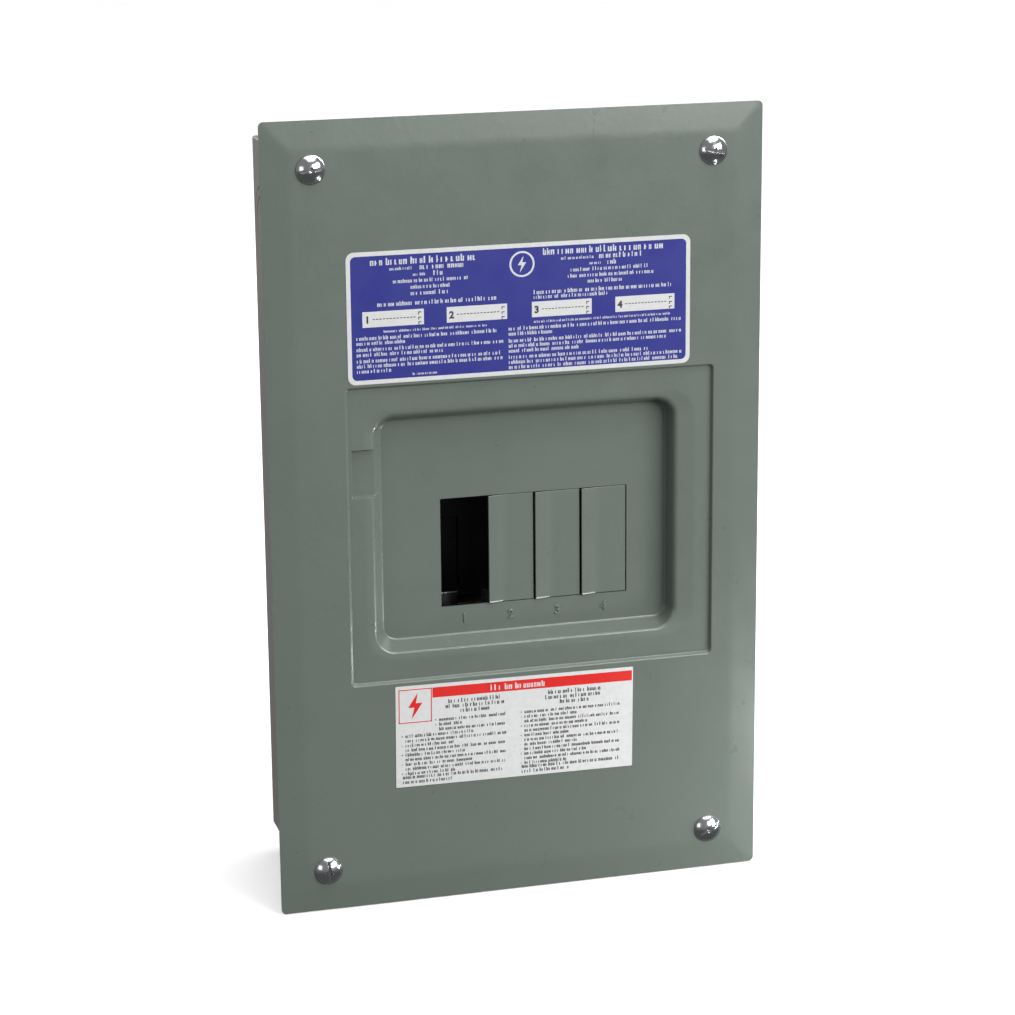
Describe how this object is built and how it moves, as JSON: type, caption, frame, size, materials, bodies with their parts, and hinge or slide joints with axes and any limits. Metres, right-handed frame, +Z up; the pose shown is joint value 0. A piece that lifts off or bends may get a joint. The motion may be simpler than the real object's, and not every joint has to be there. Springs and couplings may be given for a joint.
{
  "type": "residential load center",
  "caption": "Wall-mounted steel breaker panel: pressed cover with a dished opening closed by twistout plates, round-head corner screws, and a back box with bus bars, lugs and terminal bars.",
  "frame": {"origin": "middle of the back face of the box, where it meets the wall", "axes": "+Z up along the long side, +Y into the wall, so the cover faces -Y; +X to the right as seen from the front"},
  "size_m": [0.2602, 0.1, 0.4114],
  "materials": {
    "cover_paint": "baked grey-green enamel, fine texture",
    "box_paint": "grey enamel over galvanised sheet",
    "zinc": "bright zinc plate",
    "galvanised": "galvanised sheet",
    "aluminium": "tin-plated, satin",
    "copper": "bare copper, dull",
    "black_plastic": "moulded, satin",
    "green_screw": "green dyed plate",
    "label_blue": "printed film with a white border",
    "label_white": "printed film, satin"
  },
  "bodies": {
    "box_body": {"box": "box_paint", "cover_tab_top_left": "galvanised", "cover_tab_top_right": "galvanised", "cover_tab_bottom_left": "galvanised", "cover_tab_bottom_right": "galvanised", "knockout_top_middle": "box_paint", "knockout_top_left": "box_paint", "knockout_top_right": "box_paint", "knockout_bottom_middle": "box_paint", "knockout_bottom_left": "box_paint", "knockout_bottom_right": "box_paint", "knockout_side_left": "box_paint", "knockout_side_right": "box_paint", "knockout_back_left": "box_paint", "knockout_back_right": "box_paint", "interior_pan": "galvanised", "pan_screw_left": "zinc", "pan_screw_right": "zinc", "bus_insulator": "black_plastic", "bus_bar_a": "aluminium", "bus_bar_b": "aluminium", "main_lug_a": "aluminium", "main_lug_b": "aluminium", "neutral_lug": "aluminium", "breaker_rail": "galvanised", "neutral_bar": "aluminium", "neutral_standoff_lower": "black_plastic", "neutral_standoff_upper": "black_plastic", "bonding_strap": "copper", "ground_bar": "aluminium", "ground_bar_screw_upper": "zinc", "ground_bar_screw_lower": "zinc"},
    "cover_body": {"cover": "cover_paint", "directory_label": "label_blue", "warning_label": "label_white"},
    "cover_screw_top_left": {"cover_screw_top_left": "zinc"},
    "cover_screw_top_right": {"cover_screw_top_right": "zinc"},
    "cover_screw_bottom_left": {"cover_screw_bottom_left": "zinc"},
    "cover_screw_bottom_right": {"cover_screw_bottom_right": "zinc"},
    "twistout_2": {"twistout_2": "cover_paint"},
    "twistout_3": {"twistout_3": "cover_paint"},
    "twistout_4": {"twistout_4": "cover_paint"},
    "main_lug_a_screw": {"main_lug_a_screw": "zinc"},
    "main_lug_b_screw": {"main_lug_b_screw": "zinc"},
    "neutral_lug_screw": {"neutral_lug_screw": "zinc"},
    "neutral_bar_terminal_screw_1": {"neutral_bar_terminal_screw_1": "zinc"},
    "neutral_bar_terminal_screw_2": {"neutral_bar_terminal_screw_2": "zinc"},
    "neutral_bar_terminal_screw_3": {"neutral_bar_terminal_screw_3": "zinc"},
    "neutral_bar_terminal_screw_4": {"neutral_bar_terminal_screw_4": "zinc"},
    "neutral_bar_terminal_screw_5": {"neutral_bar_terminal_screw_5": "zinc"},
    "neutral_bar_terminal_screw_6": {"neutral_bar_terminal_screw_6": "zinc"},
    "ground_bar_terminal_screw_1": {"ground_bar_terminal_screw_1": "zinc"},
    "ground_bar_terminal_screw_2": {"ground_bar_terminal_screw_2": "zinc"},
    "ground_bar_terminal_screw_3": {"ground_bar_terminal_screw_3": "zinc"},
    "ground_bar_terminal_screw_4": {"ground_bar_terminal_screw_4": "zinc"},
    "ground_bar_terminal_screw_5": {"ground_bar_terminal_screw_5": "zinc"},
    "ground_bar_terminal_screw_6": {"ground_bar_terminal_screw_6": "zinc"},
    "bonding_screw": {"bonding_screw": "green_screw"}
  },
  "joints": [
    {"name": "cover_lift", "type": "slide", "parent": "box_body", "child": "cover_body", "axis": [0, -1, 0], "range_m": [0, 0.12]},
    {"name": "cover_screw_top_left_turn", "type": "hinge", "parent": "cover_body", "child": "cover_screw_top_left", "pos_m": [-0.105, -0.0965, 0.1837], "axis": [0, -1, 0], "continuous": true},
    {"name": "cover_screw_top_right_turn", "type": "hinge", "parent": "cover_body", "child": "cover_screw_top_right", "pos_m": [0.1034, -0.0965, 0.1837], "axis": [0, -1, 0], "continuous": true},
    {"name": "cover_screw_bottom_left_turn", "type": "hinge", "parent": "cover_body", "child": "cover_screw_bottom_left", "pos_m": [-0.105, -0.0965, -0.1817], "axis": [0, -1, 0], "continuous": true},
    {"name": "cover_screw_bottom_right_turn", "type": "hinge", "parent": "cover_body", "child": "cover_screw_bottom_right", "pos_m": [0.1034, -0.0965, -0.1817], "axis": [0, -1, 0], "continuous": true},
    {"name": "twistout_2_twist", "type": "hinge", "parent": "cover_body", "child": "twistout_2", "pos_m": [-0.00128, -0.0826, -0.01965], "axis": [0, 0, 1], "range_deg": [-25, 25]},
    {"name": "twistout_3_twist", "type": "hinge", "parent": "cover_body", "child": "twistout_3", "pos_m": [0.02388, -0.0826, -0.01965], "axis": [0, 0, 1], "range_deg": [-25, 25]},
    {"name": "twistout_4_twist", "type": "hinge", "parent": "cover_body", "child": "twistout_4", "pos_m": [0.04902, -0.0826, -0.01965], "axis": [0, 0, 1], "range_deg": [-25, 25]},
    {"name": "main_lug_a_screw_turn", "type": "hinge", "parent": "box_body", "child": "main_lug_a_screw", "pos_m": [-0.03, -0.0654, 0.07], "axis": [0, -1, 0], "continuous": true},
    {"name": "main_lug_b_screw_turn", "type": "hinge", "parent": "box_body", "child": "main_lug_b_screw", "pos_m": [0.057, -0.0654, 0.07], "axis": [0, -1, 0], "continuous": true},
    {"name": "neutral_lug_screw_turn", "type": "hinge", "parent": "box_body", "child": "neutral_lug_screw", "pos_m": [-0.077, -0.0558, 0.0893], "axis": [0, -1, 0], "continuous": true},
    {"name": "neutral_bar_terminal_screw_1_turn", "type": "hinge", "parent": "box_body", "child": "neutral_bar_terminal_screw_1", "pos_m": [-0.077, -0.0429, -0.02], "axis": [0, -1, 0], "continuous": true},
    {"name": "neutral_bar_terminal_screw_2_turn", "type": "hinge", "parent": "box_body", "child": "neutral_bar_terminal_screw_2", "pos_m": [-0.077, -0.0429, -0.0045], "axis": [0, -1, 0], "continuous": true},
    {"name": "neutral_bar_terminal_screw_3_turn", "type": "hinge", "parent": "box_body", "child": "neutral_bar_terminal_screw_3", "pos_m": [-0.077, -0.0429, 0.011], "axis": [0, -1, 0], "continuous": true},
    {"name": "neutral_bar_terminal_screw_4_turn", "type": "hinge", "parent": "box_body", "child": "neutral_bar_terminal_screw_4", "pos_m": [-0.077, -0.0429, 0.0265], "axis": [0, -1, 0], "continuous": true},
    {"name": "neutral_bar_terminal_screw_5_turn", "type": "hinge", "parent": "box_body", "child": "neutral_bar_terminal_screw_5", "pos_m": [-0.077, -0.0429, 0.042], "axis": [0, -1, 0], "continuous": true},
    {"name": "neutral_bar_terminal_screw_6_turn", "type": "hinge", "parent": "box_body", "child": "neutral_bar_terminal_screw_6", "pos_m": [-0.077, -0.0429, 0.0575], "axis": [0, -1, 0], "continuous": true},
    {"name": "ground_bar_terminal_screw_1_turn", "type": "hinge", "parent": "box_body", "child": "ground_bar_terminal_screw_1", "pos_m": [0.085, -0.0124, -0.118], "axis": [0, -1, 0], "continuous": true},
    {"name": "ground_bar_terminal_screw_2_turn", "type": "hinge", "parent": "box_body", "child": "ground_bar_terminal_screw_2", "pos_m": [0.085, -0.0124, -0.1068], "axis": [0, -1, 0], "continuous": true},
    {"name": "ground_bar_terminal_screw_3_turn", "type": "hinge", "parent": "box_body", "child": "ground_bar_terminal_screw_3", "pos_m": [0.085, -0.0124, -0.0956], "axis": [0, -1, 0], "continuous": true},
    {"name": "ground_bar_terminal_screw_4_turn", "type": "hinge", "parent": "box_body", "child": "ground_bar_terminal_screw_4", "pos_m": [0.085, -0.0124, -0.0844], "axis": [0, -1, 0], "continuous": true},
    {"name": "ground_bar_terminal_screw_5_turn", "type": "hinge", "parent": "box_body", "child": "ground_bar_terminal_screw_5", "pos_m": [0.085, -0.0124, -0.0732], "axis": [0, -1, 0], "continuous": true},
    {"name": "ground_bar_terminal_screw_6_turn", "type": "hinge", "parent": "box_body", "child": "ground_bar_terminal_screw_6", "pos_m": [0.085, -0.0124, -0.062], "axis": [0, -1, 0], "continuous": true},
    {"name": "bonding_screw_turn", "type": "hinge", "parent": "box_body", "child": "bonding_screw", "pos_m": [-0.077, -0.0036, -0.052], "axis": [0, -1, 0], "continuous": true}
  ]
}
